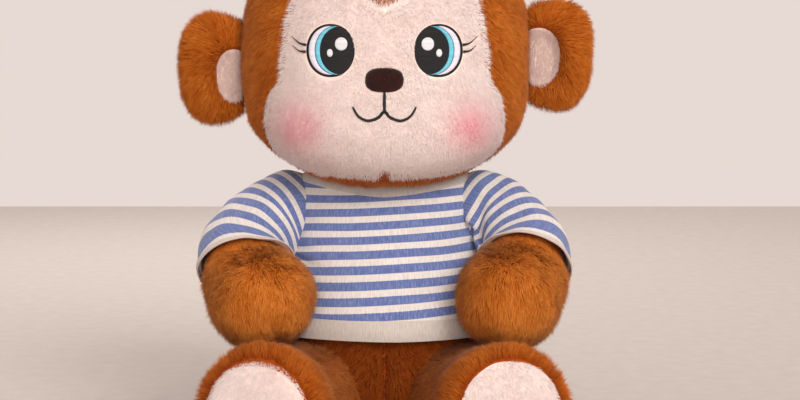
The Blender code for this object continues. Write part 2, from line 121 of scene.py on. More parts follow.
FACE_MIDDLE = (0, 300)
EYE, EYE_HALF = (41.9, 326), (19.8, 21.4)
GLINTS = (("big", -8.5, 5, 5.4, 5.6), ("small", 0.2, -2, 2.5, 3.4))
NOSE, NOSE_HALF = (0, 303.5), (15, 9.4)
LASHES = (((60.4, 330), (66, 331.4), (72.2, 336.6)), ((60.8, 324.8), (66, 325.4), (71.2, 329.4)))
LIPS = (
    (-24.3, 282.8), (-20, 275.8), (-12.8, 272.4), (-4.8, 274.8), (0, 279.4),
    (4.8, 274.8), (12.8, 272.4), (20, 275.8), (24.3, 282.8),
)
STEM = ((0, 294.5), (0, 286), (0, 278.6))
LIP_STITCH, LASH_STITCH = (2.5, 0.0026), (2.3, 0.0026)  # width in mm, height in metres
BLUSH, BLUSH_SIZE, BLUSH_STEPS = (67, 268), 19, 8
STRIPE_PITCH, STRIPE_START, STRIPE_TILT = 0.0122, 0.1136, 0.05  # metres up the cloth, and rise per metre to +X
BLUE_SHARE, STRIPE_EDGE = (0.02, 0.56), 0.02
WALE, COURSE, THREAD = 0.0011, 0.0009, 0.0005  # metres between the knit's columns, its rows, and stitches
JERSEY_THICK, HEM_THICK, CUFF_THICK = 0.0009, 0.0013, 0.0012
SHIRT_COLUMNS, SLEEVE_COLUMNS, SHOULDER_RINGS = 260, 130, 16
EDGE_FLARE, RUMPLE, RUMPLE_STRETCH = 0.16, 0.024, np.array([1.6, 1.6, 1])  # of the sleeves and cuffs

# Piles: fibres per square mm, then the fibres' length and width in metres.
FUR_WIDTH, FINE_WIDTH, HEAD_DENSITY, FACE_DENSITY = 0.0007, 0.0006, 1.9, 2.6
EAR_FUR = (2.0, 0.0082, FUR_WIDTH)
TORSO_FUR = (1.8, 0.0080, FUR_WIDTH)
LEG_FUR = (1.9, 0.0086, FUR_WIDTH)
PAW_FUR = (2.2, 0.0098, FUR_WIDTH)
TAIL_FUR = (1.9, 0.0085, FUR_WIDTH)
SHORT_FUR = (2.4, 0.0036, FINE_WIDTH)
VELVET = (6, 0.0011, 0.0003)
CLUMP, TUFT, PATCH = 0.009, 0.0032, 0.013  # metres across the pile's locks, its tufts and its patches of shade
ROOT_DEPTH, SOFTNESS = 0.0004, 0.82
SPIKE = np.array([1, 0, 3, 2, 1, 3, 0, 2, 3])  # the three sides of a fibre; point 3 is its tip
FRONT = (0, -1, 0)


# ---- small tools ----
def unit(v):
    return v / np.maximum(norm(v)[..., None], 1e-12)


def circle(count):
    return np.linspace(0, 2 * math.pi, count, endpoint=False)


def vectors(*parts):
    """Vectors from their coordinates, which are arrays or single numbers."""
    return np.stack(np.broadcast_arrays(*parts), axis=-1)


def norm(v):
    return np.linalg.norm(v, axis=-1)


def smooth(x, low, high):
    t = np.clip((x - low) / (high - low), 0, 1)
    return t * t * (3 - 2 * t)


def catmull(rows, t):
    """Points of a smooth curve through rows, at station numbers t."""
    rows = np.asarray(rows, float)
    i = np.clip(np.floor(t).astype(int), 0, len(rows) - 2)
    u = (t - i)[:, None]
    a, b, c, d = (rows[np.clip(i + k, 0, len(rows) - 1)] for k in (-1, 0, 1, 2))
    return 0.5 * (
        (-u + 2 * u**2 - u**3) * a + (2 - 5 * u**2 + 3 * u**3) * b
        + (u + 4 * u**2 - 3 * u**3) * c + (u**3 - u**2) * d
    )


def noise(p, scale, seed=0):
    """Smooth value noise from -1 to 1 at points p, with features about scale metres wide."""
    q = np.asarray(p, float) / scale + 31.7 * (seed + 1)
    cell = np.floor(q).astype(np.int64)
    f = q - cell
    f = f * f * (3 - 2 * f)
    total = 0
    for corner in range(8):
        step = np.array([corner & 1, corner >> 1 & 1, corner >> 2 & 1])
        x = (cell + step) @ np.array([73856093, 19349663, 83492791])
        x = (x ^ (x >> 13)) * 1274126177 & 0x7FFFFFFF
        value = ((x ^ (x >> 15)) & 0xFFFF) / 32767.5 - 1
        total = total + value * np.prod(np.where(step, f, 1 - f), axis=-1)
    return total


def noise3(p, scale, seed=0):
    return vectors(*(noise(p, scale, seed + k * 7) for k in range(3)))


def ellipse(angle, power=2.0):
    c, s = np.cos(angle), np.sin(angle)
    return np.sign(c) * np.abs(c) ** (2 / power), np.sign(s) * np.abs(s) ** (2 / power)


def upright_grid(rows, along, around, power=2.0):
    """Points [row, angle] of an upright form, from rows in mm; angle 0 is +X, and -90 degrees is the front."""
    t = np.linspace(0, len(rows) - 1, along)
    row = catmull(rows, t) * MM
    row[:, 2] = np.maximum(row[:, 2], 0.0005)
    c, s = ellipse(circle(around), power)
    height, rise, half, front, back = (row[:, k : k + 1] for k in range(5))
    y = (front + back) / 2 + (back - front) / 2 * s
    return vectors(half * c, y, height + rise / 2 * s)


def on_side(stations, side):
    return [(side * x, *rest) for x, *rest in stations]


def path_rings(stations, t):
    """Centres, radii and the sideways, upward and ahead directions along a path of (x, y, z, radius) in mm."""
    row = catmull(stations, t) * MM
    step = 0.01
    ahead = unit(catmull(stations, t + step)[:, :3] - catmull(stations, t - step)[:, :3])
    sideways = unit(np.cross(ahead, UP))
    return row[:, :3], row[:, 3], sideways, np.cross(sideways, ahead), ahead


def tube_grid(centre, across, along, around):
    """Points [ring, angle] of a tube with these cross-section vectors."""
    a = circle(around)
    c, s = np.cos(a)[None, :, None], np.sin(a)[None, :, None]
    return centre[:, None] + across[:, None] * c + along[:, None] * s


class Skin:
    """A smooth surface from a grid of points, with the normals, triangles and areas that a pile needs."""

    def __init__(self, grid, wrap=True, out=None):
        self.grid, self.wrap = grid, wrap
        rows, cols = grid.shape[:2]
        index = np.arange(rows * cols).reshape(rows, cols)
        turned = np.roll(index, -1, axis=1) if wrap else index[:, 1:]
        index = index if wrap else index[:, :-1]
        quads = np.stack([index[:-1], turned[:-1], turned[1:], index[1:]], axis=-1).reshape(-1, 4)
        self.points = grid.reshape(-1, 3)
        middle = self.points.mean(0) if out is None else None
        a, b, c, d = (self.points[quads[:, k]] for k in range(4))
        facing = np.cross(c - a, d - b)
        toward = (a + c) / 2 - middle if out is None else np.broadcast_to(out, a.shape)
        if (facing * toward).sum() < 0:
            quads, facing = quads[:, ::-1], -facing
        self.quads = quads
        normal = np.zeros_like(self.points)
        for k in range(4):
            np.add.at(normal, quads[:, k], facing)
        self.normals = unit(normal)
        self.tris = np.concatenate([quads[:, [0, 1, 2]], quads[:, [0, 2, 3]]])

    def moved(self, distance):
        """The same surface moved along its normals by a distance, or one for each point."""
        distance = np.asarray(distance).reshape(-1, 1)
        return Skin((self.points + self.normals * distance).reshape(self.grid.shape), self.wrap, self.side())

    def side(self):
        return None if self.wrap else self.normals.mean(0)

    def areas(self):
        """The area of each triangle."""
        a, b, c = (self.points[self.tris[:, k]] for k in range(3))
        return norm(np.cross(b - a, c - a)) / 2

    def scatter(self, per_mm2):
        """Points spread evenly over the surface, with their normals."""
        area = self.areas()
        count = int(area.sum() * 1e6 * per_mm2)
        face = rng.choice(len(area), count, p=area / area.sum())
        u, v = rng.random((2, count, 1))
        u, v = np.where(u + v > 1, 1 - u, u), np.where(u + v > 1, 1 - v, v)
        tri = self.tris[face]

        def mix(values):
            return values[tri[:, 0]] * (1 - u - v) + values[tri[:, 1]] * u + values[tri[:, 2]] * v

        return mix(self.points), unit(mix(self.normals))

    def tree(self):
        return BVHTree.FromPolygons([Vector(p) for p in self.points], self.quads.tolist())


def linked(name, data):
    made = bpy.data.objects.new(name, data)
    bpy.context.scene.collection.objects.link(made)
    return made


def new_object(name, mesh, material):
    made = linked(name, mesh)
    mesh.materials.append(material)
    mesh.shade_smooth()
    return made


def raw_mesh(name, points, starts, corners, uv=None, layer="OFBake"):
    """A mesh from arrays: its points, the first corner of each face, and each corner's point."""
    mesh = bpy.data.meshes.new(name)
    mesh.vertices.add(len(points))
    mesh.vertices.foreach_set("co", np.asarray(points, np.float32).ravel())
    mesh.loops.add(len(corners))
    mesh.loops.foreach_set("vertex_index", np.asarray(corners, np.int32))
    mesh.polygons.add(len(starts))
    mesh.polygons.foreach_set("loop_start", np.asarray(starts, np.int32))
    if uv is not None:
        mesh.uv_layers.new(name=layer)
        mesh.uv_layers[layer].data.foreach_set("uv", np.asarray(uv, np.float32).ravel())
    mesh.update(calc_edges=True)
    return mesh


def surface(name, skin, material, cloth=None, goes_round=False):
    """A piece from a skin; cloth gives each grid point its place on the flat cloth, in metres. A cloth that goes
    round a limb meets itself one turn further on."""
    uv = None
    if cloth is not None:
        uv = cloth.reshape(-1, 2)[skin.quads.ravel()]
        if goes_round:
            columns = skin.grid.shape[1]
            at = skin.quads % columns
            uv[(at.max(1, keepdims=True) - at > columns / 2).ravel(), 0] += cloth[0, 1, 0] * columns
    starts = np.arange(len(skin.quads)) * 4
    mesh = raw_mesh(name, skin.points, starts, skin.quads.ravel(), uv, "cloth")
    return new_object(name, mesh, material)


def stuffed(name, skin, material, slot, body, fill, *nodes):
    """A padded piece that rides a body and stands for some of its CAD nodes."""
    made = surface(name, skin, material)
    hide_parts(*nodes)
    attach(made, body)
    return made


def pile(name, body, skin, fur, comb, material, lift, frizz, keep=None, tone=None, group=None, groups=1):
    """Fibres over a skin, each a three-sided spike.

    fur is (fibres per square mm, length, width). The length, the comb (a direction) and the lift (degrees above
    the skin) are values or functions of (points, normals). frizz is how far fibres stray from the combing. keep
    says which roots stay, tone is added to each fibre's shade, and group offsets the shade by whole steps of
    1/groups, which the material reads as another colour.
    """
    per_mm2, length, width = fur
    p, n = skin.scatter(per_mm2)
    if keep is not None:
        stay = keep(p, n)
        p, n = p[stay], n[stay]
    k = len(p)
    flow = comb(p, n) if callable(comb) else np.broadcast_to(np.asarray(comb, float), p.shape)
    flow = unit(flow) + frizz * noise3(p, CLUMP, 3) + 0.8 * frizz * noise3(p, TUFT, 5)
    flow = flow + 0.35 * frizz * rng.normal(size=p.shape)
    flow = unit(flow - n * (flow * n).sum(1, keepdims=True))
    long = length(p, n) if callable(length) else np.full(k, length)
    long = long * (0.72 + 0.5 * rng.random(k)) * (1 + 0.12 * noise(p, 0.012, 9))
    rise = lift(p, n) if callable(lift) else np.full(k, float(lift))
    rise = np.radians(rise + 9 * noise(p, 0.006, 13) + 7 * rng.normal(size=k))[:, None]
    ahead = n * np.sin(rise) + flow * np.cos(rise)
    side = unit(np.cross(flow, n))
    over = np.cross(side, ahead)
    wide = width * (0.75 + 0.5 * rng.random(k))[:, None] / 2
    turn = rng.random(k)[:, None] * 2 * math.pi
    root = p - n * ROOT_DEPTH
    thirds = [turn + third * 2 * math.pi / 3 for third in range(3)]
    rim = [side * np.cos(a) + over * np.sin(a) for a in thirds]
    points = np.stack([root + wide * r for r in rim] + [root + ahead * long[:, None]], axis=1)
    corners = (np.arange(k)[:, None] * 4 + SPIKE).ravel()
    shade = 0.5 + 0.27 * noise(p, PATCH, 1) + 0.24 * noise(p, TUFT, 2) + 0.16 * rng.normal(size=k)
    shade = np.clip(shade + (tone(p, n) if tone else 0), 0.02, 0.98)
    shade = (shade + (group(p, n) if group else 0)) / groups
    u = shade[:, None] + np.array([-1, 1, 0, 0]) * 0.0015 / groups
    uv = vectors(u, np.array([0.02, 0.02, 0.05, 0.98]))[:, SPIKE].reshape(-1, 2)
    mesh = raw_mesh(name, points.reshape(-1, 3), np.arange(3 * k) * 3, corners, uv)
    made = new_object(name, mesh, material)
    # Normals mostly the skin's own, so that the light falls on the pile as on one soft body.
    soft = np.stack([SOFTNESS * n + (1 - SOFTNESS) * way for way in (*rim, over)], axis=1)
    mesh.normals_split_custom_set_from_vertices(unit(soft).reshape(-1, 3))
    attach(made, body)
    return made


# ---- materials ----
def linear(*srgb):
    """A colour given as 0-255 sRGB, as linear values."""
    made = [c / 255 for c in srgb]
    return tuple(c / 12.92 if c <= 0.04045 else ((c + 0.055) / 1.055) ** 2.4 for c in made) + (1,)


class Nodes:
    """A node tree with short calls for the few nodes used here."""

    def __init__(self, name):
        self.material = bpy.data.materials.new(name)
        self.material.use_nodes = True
        self.tree = self.material.node_tree
        self.shader = self.tree.nodes["Principled BSDF"]

    def add(self, kind, inputs=(), **settings):
        node = self.tree.nodes.new("ShaderNode" + kind)
        for key, value in settings.items():
            setattr(node, key, value)
        for key, value in dict(inputs).items():
            if isinstance(value, bpy.types.NodeSocket):
                self.tree.links.new(value, node.inputs[key])
            else:
                node.inputs[key].default_value = value
        return node

    def set(self, **values):
        for key, value in values.items():
            self.shader.inputs[key.replace("_", " ")].default_value = value

    def link(self, socket, key):
        self.tree.links.new(socket, self.shader.inputs[key])

    def math(self, operation, a, b=0.0, c=0.0):
        return self.add("Math", {0: a, 1: b, 2: c}, operation=operation).outputs[0]

    def blend(self, a, share_a, b, share_b):
        """The sum of two values, each times its share."""
        return self.math("ADD", self.math("MULTIPLY", a, share_a), self.math("MULTIPLY", b, share_b))

    def ramp(self, value, stops):
        stops = list(stops)
        node = self.add("ValToRGB", {"Fac": value})
        marks = node.color_ramp.elements
        while len(marks) < len(stops):
            marks.new(0.5)
        for mark, (place, colour) in zip(marks, stops):
            mark.position, mark.color = place, colour
        return node.outputs["Color"]

    def mix(self, share, a, b, blend="MIX"):
        node = self.tree.nodes.new("ShaderNodeMix")
        node.data_type, node.blend_type = "RGBA", blend
        for index, value in ((0, share), (6, a), (7, b)):
            if isinstance(value, bpy.types.NodeSocket):
                self.tree.links.new(value, node.inputs[index])
            else:
                node.inputs[index].default_value = value
        return node.outputs[2]

    def noise(self, at, scale, detail, rough=0.5):
        inputs = {"Vector": at, "Scale": scale, "Detail": detail, "Roughness": rough}
        return self.add("TexNoise", inputs).outputs["Fac"]

    def cloth_map(self, name):
        """A UV map, and its u and v."""
        uv = self.add("UVMap", uv_map=name).outputs[0]
        split = self.add("SeparateXYZ", {0: uv})
        return uv, split.outputs[0], split.outputs[1]

    def bump(self, height, strength, distance):
        node = self.add("Bump", {"Height": height, "Strength": strength, "Distance": distance})
        self.link(node.outputs["Normal"], "Normal")


def tones(*colours):
    return [linear(*c) for c in colours]


def fibre_material(name, dark, light, sheen=0.06, rough=0.9, groups=1, tint=None):
    """Colours at root, middle and tip run along v, and dark to light along u; the darker root is painted shade
    deep in the pile. With groups, u is cut in equal parts, each tinted more than the one before."""
    n = Nodes(name)
    _, u, v = n.cloth_map("OFBake")
    if groups > 1:
        scaled = n.math("MULTIPLY", u, float(groups))
        which, u = n.math("FLOOR", scaled), n.math("FRACT", scaled)
    dark_tone, light_tone = (n.ramp(v, zip((0.0, 0.5, 1.0), tones(*row))) for row in (dark, light))
    colour = n.mix(u, dark_tone, light_tone)
    if groups > 1:
        share = n.math("DIVIDE", which, float(groups - 1))
        colour = n.mix(share, colour, n.mix(1.0, colour, linear(*tint), "MULTIPLY"))
    n.link(colour, "Base Color")
    n.set(Roughness=rough, Sheen_Weight=sheen, Sheen_Roughness=0.5, Specular_IOR_Level=0.12)
    return n.material


def backing_material(name, deep, pale, sheen=0.2):
    """The cloth under a pile: mottled, with the rows of tufts in its bump."""
    n = Nodes(name)
    at = n.add("TexCoord").outputs["Object"]
    mottle, fine = n.noise(at, 160.0, 4.0, 0.6), n.noise(at, 900.0, 2.0)
    n.link(n.ramp(n.blend(mottle, 0.7, fine, 0.3), [(0.3, linear(*deep)), (0.7, linear(*pale))]), "Base Color")
    n.bump(fine, 0.2, 0.0003)
    n.set(Roughness=0.95, Sheen_Weight=sheen, Sheen_Roughness=0.5, Specular_IOR_Level=0.2)
    return n.material


def jersey_material(name, whites, blues=None):
    """Knit jersey. Its pattern lies on the cloth UV map, in metres: stripes across v, wales along v."""
    n = Nodes(name)
    uv, u, v = n.cloth_map("cloth")
    wale = n.math("SINE", n.math("MULTIPLY", u, 2 * math.pi / WALE))
    course = n.math("SINE", n.math("MULTIPLY", v, 2 * math.pi / COURSE))
    streak = n.noise(n.add("Mapping", {"Vector": uv, "Scale": (900.0, 160.0, 1.0)}).outputs[0], 1.0, 3.0)
    colour = n.ramp(streak, zip((0.3, 0.7), tones(*whites)))
    if blues:
        ragged = n.math("MULTIPLY_ADD", n.math("SUBTRACT", streak, 0.5), 0.0006, v)
        phase = n.math("FRACT", n.math("DIVIDE", n.math("SUBTRACT", ragged, STRIPE_START), STRIPE_PITCH))
        first, last = BLUE_SHARE
        edges = (first - STRIPE_EDGE, first, last, last + STRIPE_EDGE)
        inside = n.ramp(phase, zip(edges, tones((0, 0, 0), (255, 255, 255), (255, 255, 255), (0, 0, 0))))
        colour = n.mix(inside, colour, n.ramp(streak, zip((0.25, 0.5, 0.8), tones(*blues))))
    n.link(colour, "Base Color")
    loops = n.blend(wale, 0.6, course, 0.4)
    n.bump(n.math("ADD", loops, n.math("MULTIPLY", streak, 0.8)), 0.35, 0.0003)
    n.set(Roughness=0.9, Sheen_Weight=0.2, Sheen_Roughness=0.5, Specular_IOR_Level=0.25)
    return n.material


def thread_material(name, deep, pale, rough, sheen=0.1):
    """Satin stitch: close parallel threads along the cloth map's u."""
    n = Nodes(name)
    uv, _, v = n.cloth_map("cloth")
    across = n.math("ADD", v, n.math("MULTIPLY", n.noise(uv, 300.0, 2.0), 0.0006))
    rib = n.math("SINE", n.math("MULTIPLY", across, 2 * math.pi / THREAD))
    thread = n.math("FLOOR", n.math("DIVIDE", across, THREAD))
    each = n.add("TexWhiteNoise", {"W": thread}, noise_dimensions="1D").outputs["Value"]
    n.link(n.ramp(n.blend(rib, 0.25, each, 0.6), [(0.0, linear(*deep)), (0.8, linear(*pale))]), "Base Color")
    n.bump(rib, 0.5, 0.0002)
    n.set(Roughness=rough, Sheen_Weight=sheen, Specular_IOR_Level=0.4)
    return n.material


BROWN_PILE = fibre_material(
    "brown_pile", ((110, 40, 1), (158, 70, 6), (182, 88, 16)), ((142, 60, 4), (202, 104, 24), (238, 152, 66))
)
# The paws' pile: a lighter copy of the brown pile, painted light on the paws' tops.
PAW_PILE_PAINTED_LIGHT = fibre_material(
    "paw_pile", ((146, 64, 6), (190, 96, 20), (208, 112, 32)), ((172, 84, 14), (228, 126, 40), (252, 172, 86))
)
# The legs' pile: a darker copy of the brown pile, painted shade where the paws hang over the legs.
LEG_PILE_PAINTED_SHADE = fibre_material(
    "leg_pile", ((98, 34, 1), (140, 60, 5), (162, 76, 12)), ((126, 52, 3), (182, 90, 20), (218, 136, 56))
)
# The torso's pile: a darker copy of the brown pile, painted shade of the lap under the shirt and between the
# legs.
BELLY_PILE_PAINTED_SHADE = fibre_material(
    "belly_pile_painted_shade", ((50, 13, 0), (116, 46, 4), (152, 70, 11)), ((66, 20, 1), (150, 68, 14), (200, 118, 46)), 0.05
)
CREAMS = ((226, 200, 190), (238, 216, 208), (242, 224, 217)), ((236, 214, 206), (246, 230, 224), (252, 240, 236))
CREAM_PILE = fibre_material("cream_pile", *CREAMS, 0.1, 0.85)
FACE_PILE = fibre_material("face_pile", *CREAMS, 0.1, 0.85, groups=BLUSH_STEPS, tint=(255, 190, 206))
# The ear linings' pile: a darker, pinker copy of the cream pile, painted shade in the hollow of each ear.
EAR_PILE_PAINTED_SHADE = fibre_material(
    "ear_pile", ((198, 160, 148), (212, 180, 168), (218, 190, 180)),
    ((214, 180, 168), (226, 198, 188), (234, 210, 200)), 0.1, 0.85,
)
NOSE_PILE = fibre_material(
    "nose_pile", ((26, 8, 5), (46, 17, 12), (66, 28, 21)), ((40, 14, 10), (70, 28, 21), (104, 52, 42)), 0.3, 0.85
)
BROWN_CLOTH = backing_material("brown_backing", (122, 48, 3), (158, 72, 8), 0.05)
CREAM_CLOTH = backing_material("cream_backing", (228, 200, 188), (240, 218, 208))
NOSE_CLOTH = backing_material("nose_backing", (24, 8, 5), (48, 18, 13))
STRIPED = jersey_material(
    "striped_jersey", ((201, 193, 187), (220, 214, 209)), ((78, 92, 146), (97, 112, 160), (128, 140, 182))
)
# The rib's white is darker than the striped jersey's: painted shade of the hem, shared by the collar and cuffs.
RIB_PAINTED_SHADE = jersey_material("white_rib_painted_shade", ((182, 173, 165), (200, 191, 183)))
BLACK = thread_material("black_thread", (5, 5, 6), (22, 21, 22), 0.55, sheen=0.0)
LILAC = thread_material("white_thread", (214, 208, 222), (240, 236, 245), 0.45)
CYAN = thread_material("blue_thread", (88, 184, 208), (128, 214, 230), 0.42)
GREY = thread_material("glint_thread", (206, 206, 210), (236, 236, 240), 0.45)

# ---- head ----
head = Skin(upright_grid(HEAD_ROWS, 110, 160, HEAD_POWER))
head = head.moved(0.0009 * noise(head.points, 0.045, 21) + 0.0005 * noise(head.points, 0.02, 22))
head_tree = head.tree()
face_line = catmull(FACE, np.linspace(0, len(FACE) - 1, 60))
face_line = np.concatenate([face_line, face_line[-2:0:-1] * [-1, 1]])


def polygon_distance(x, z, line):
    """The distance in mm from each point to a closed outline, negative inside it."""
    p = vectors(x, z)[:, None]
    a, b = line[None], np.roll(line, -1, axis=0)[None]
    e = b - a
    t = np.clip(((p - a) * e).sum(-1) / (e * e).sum(-1), 0, 1)
    near = norm(a + e * t[..., None] - p).min(1)
    crosses = ((a[..., 1] > p[..., 1]) != (b[..., 1] > p[..., 1])) & (
        p[..., 0] < a[..., 0] + e[..., 0] * (p[..., 1] - a[..., 1]) / np.where(e[..., 1] == 0, 1e-9, e[..., 1])
    )
    return np.where(crosses.sum(1) % 2 == 1, -near, near)


def to_face_line(p):
    """How far outside the face panel's seam points of the head are, in metres."""
    far = np.full(len(p), 1.0)
    front = p[:, 1] < -0.02
    far[front] = polygon_distance(p[front, 0] / MM, p[front, 2] / MM, face_line) * MM
    return far


def on_front(tree, x, z):
    """The points and normals of a surface seen from the front at x, z in mm."""
    found, normals = [], []
    for a, b in zip(np.ravel(x), np.ravel(z)):
        hit, normal, _, _ = tree.ray_cast(Vector((a * MM, -0.3, b * MM)), Vector((0, 1, 0)))
        if hit is None:
            hit, normal, _, _ = tree.find_nearest(Vector((a * MM, -0.08, b * MM)))
        found.append(hit)
        normals.append(normal if normal.y < 0 else -normal)
    return np.array(found), unit(np.array(normals))


def stuck_on(tree, flat, height, wrap=True):
    """A skin from a grid of (x, z) in mm, standing height (metres, per grid point) over what is behind it."""
    at, normal = on_front(tree, flat[..., 0], flat[..., 1])
    height = np.broadcast_to(height, flat.shape[:2]).reshape(-1, 1)
    return Skin((at + normal * height).reshape(*flat.shape[:2], 3), wrap, FRONT)


# The face panel: rings from its middle to its seam, puffed up between the seams.
shares = np.concatenate([np.linspace(0.0005, 0.9, 34), np.linspace(0.92, 1.0, 9)])[:, None, None]
middle = np.array(FACE_MIDDLE, float)
flat = middle + (face_line - middle) * shares
puff = (1 - shares[..., 0] ** 10) * 0.0019 - 0.0006
chin_crease = np.exp(-((flat[..., 0] / 2.2) ** 2)) * smooth(-flat[..., 1], -238, -227)
face = stuck_on(head_tree, flat, puff - 0.0022 * chin_crease)
face_tree = face.tree()
stuffed("head_plush", head, BROWN_CLOTH, BROWN, "head", 0.9, "head_skin", "head_stuffing")
stuffed("face_plush", face, CREAM_CLOTH, CREAM, "head", 0.7, "face_panel")


def head_comb(p, n):
    """Down the back and sides, and away from the face on the front."""
    x, y, z = p.T
    away = vectors(np.sign(x) * smooth(np.abs(x), 0.02, 0.09), 0.5, 0)
    down = np.array([0, 0.15, -1.0])
    crown = smooth(z, 0.37, 0.42)[:, None]
    out_from_crown = unit(vectors(x, y - 0.01, -0.02))
    return down * (1 - 0.7 * crown) + 0.55 * away * (1 - crown) + out_from_crown * crown


def head_keep(p, n):
    """Outside the face, off the neck, and thinner below."""
    neck = (np.hypot(p[:, 0], p[:, 1]) < 0.03) & (p[:, 2] < 0.25)
    return (to_face_line(p) > 0.0005) & ~neck & ((n[:, 2] > -0.9) | (rng.random(len(p)) < 0.5))


def head_lift(p, n):
    """Lying down, but upright where the fibres part at the crown."""
    return 30 + 34 * np.exp(-((p[:, 0] ** 2 + (p[:, 1] - 0.01) ** 2) / 0.014**2)) * (n[:, 2] > 0)


def head_length(p, n):
    near_face = smooth(to_face_line(p), 0.0, 0.012)
    return 0.0056 + 0.0026 * near_face


for number, (low, high) in enumerate(zip(HEAD_SPLITS, HEAD_SPLITS[1:]), 1):
    pile(
        f"head_pile_{number}", "head", head, (HEAD_DENSITY, head_length, FUR_WIDTH), head_comb, BROWN_PILE,
        head_lift, 0.28,
        keep=lambda p, n, low=low, high=high: head_keep(p, n) & (p[:, 0] > low) & (p[:, 0] <= high),
    )


def blush(p, n):
    """How pink each fibre of the cheeks is, as a whole step."""
    most = BLUSH_STEPS - 1
    far = np.hypot(np.abs(p[:, 0]) / MM - BLUSH[0], p[:, 2] / MM - BLUSH[1]) / BLUSH_SIZE
    level = most * np.exp(-(far**2) * 1.1) * (1 + 0.15 * noise(p, 0.008, 4))
    return np.clip(np.round(level + rng.uniform(-0.5, 0.5, len(p))), 0, most)


def inside(outline, p, spare=0.0):
    return polygon_distance(np.abs(p[:, 0]) / MM, p[:, 2] / MM, outline) < spare


def ring(centre, half, count=64, power=2.1):
    c, s = ellipse(circle(count), power)
    return vectors(centre[0] + half[0] * c, centre[1] + half[1] * s)


eye_line = ring(EYE, EYE_HALF)
nose_line = ring(NOSE, NOSE_HALF, power=2.6)


def face_keep(p, n):
    """Clear of the stitches, and of the eyes and the nose by root and by tip."""
    flat = vectors(np.abs(p[:, 0]) / MM, p[:, 2] / MM)
    clear = np.full(len(p), True)
    for mark in (LIPS, STEM, *LASHES):
        fine = catmull(mark, np.linspace(0, len(mark) - 1, 24))
        far = norm(flat[:, None] - fine[None]).min(1)
        clear &= far > 1.0
    tips = p - np.array([0, 0, 0.0026])
    in_eye = inside(eye_line, p, -0.6) | inside(eye_line, tips, -0.7)
    return clear & ~in_eye & ~inside(nose_line, p, -0.6) & ~inside(nose_line, tips, -1.2)


def face_comb(p, n):
    """Downwards, and outwards over the seam along the panel's edge."""
    rim = smooth(to_face_line(p), -0.009, -0.001)[:, None]
    away = vectors(p[:, 0] / MM - FACE_MIDDLE[0], 0, p[:, 2] / MM - FACE_MIDDLE[1])
    return np.array([0, 0, -1.0]) + unit(away) * (0.25 + 1.3 * rim)


def face_length(p, n):
    return 0.0034 + 0.0022 * smooth(to_face_line(p), -0.007, 0.0)


pile(
    "face_pile", "head", face, (FACE_DENSITY, face_length, FINE_WIDTH), face_comb, FACE_PILE, 32, 0.12,
    keep=face_keep, group=blush, groups=BLUSH_STEPS,
)

# ---- embroidery ----
def rounded(share, high, edge=0.3):
    """The height across a stitched patch: share is 0 at its middle and 1 at its edge."""
    return high * np.sqrt(np.clip(1 - ((share - (1 - edge)).clip(0) / edge) ** 2, 0, 1))


def embroidered(name, skin, flat, material, node=None):
    """A stitched piece on the head, with its threads laid out on flat, in mm."""
    made = surface(name, skin, material, cloth=flat * MM)
    if node:
        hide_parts(node)
    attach(made, "head")


def patch(name, outline, middle, high, material, node, side, rows=14):
    """A filled, padded shape of satin stitch."""
    shares = np.linspace(0.01, 1, rows)[:, None, None]
    flat = (np.array(middle) + (outline - middle) * shares) * [side, 1]
    skin = stuck_on(face_tree, flat, rounded(shares[..., 0], high) - 0.0004)
    embroidered(name, skin, flat, material, node)


def band(name, outer, inner, high, material, node, side):
    """A crescent of satin stitch between two curves."""
    t = np.linspace(0, 1, 9)[:, None, None]
    flat = (inner * (1 - t) + outer * t) * [side, 1]
    skin = stuck_on(face_tree, flat, high * (1 - np.abs(2 * t[..., 0] - 1) ** 3) + 0.0001, wrap=False)
    embroidered(name, skin, flat, material, node)


def crescent(shift_out, shift_in, inset):
    """The outer and inner curves of a crescent on the outer side of the eye: discs smaller than the eye by inset
    and shifted towards the nose, all in mm."""
    half = (EYE_HALF[0] - inset, EYE_HALF[1] - inset)
    curves = []
    for shift in (shift_out, shift_in):
        top = math.acos(-shift / 2 / half[0] * 0.4)
        c, s = ellipse(np.linspace(-top * 0.97, top * 0.86, 60), 2.1)
        curves.append(vectors(EYE[0] - shift + half[0] * c, EYE[1] + half[1] * s))
    return curves


for side, word in SIDES:
    patch(f"eye_ground_{word}", eye_line, EYE, 0.0011, BLACK, f"eye_black_{word}", side)
    outer, inner = crescent(0.0, 5.6, 2.7)
    band(f"eye_crescent_white_{word}", outer, inner, 0.0014, LILAC, f"eye_white_{word}", side)
    outer, inner = crescent(5.0, 9.2, 2.9)
    band(f"eye_crescent_blue_{word}", outer, inner, 0.00155, CYAN, f"eye_blue_{word}", side)
    for label, dx, dz, half_x, half_z in GLINTS:
        spot = (EYE[0] + dx, EYE[1] + dz)
        patch(
            f"eye_spark_{label}_{word}", ring(spot, (half_x, half_z), 32), spot, 0.0017, GREY,
            f"eye_glint_{label}_{word}", side, rows=8,
        )


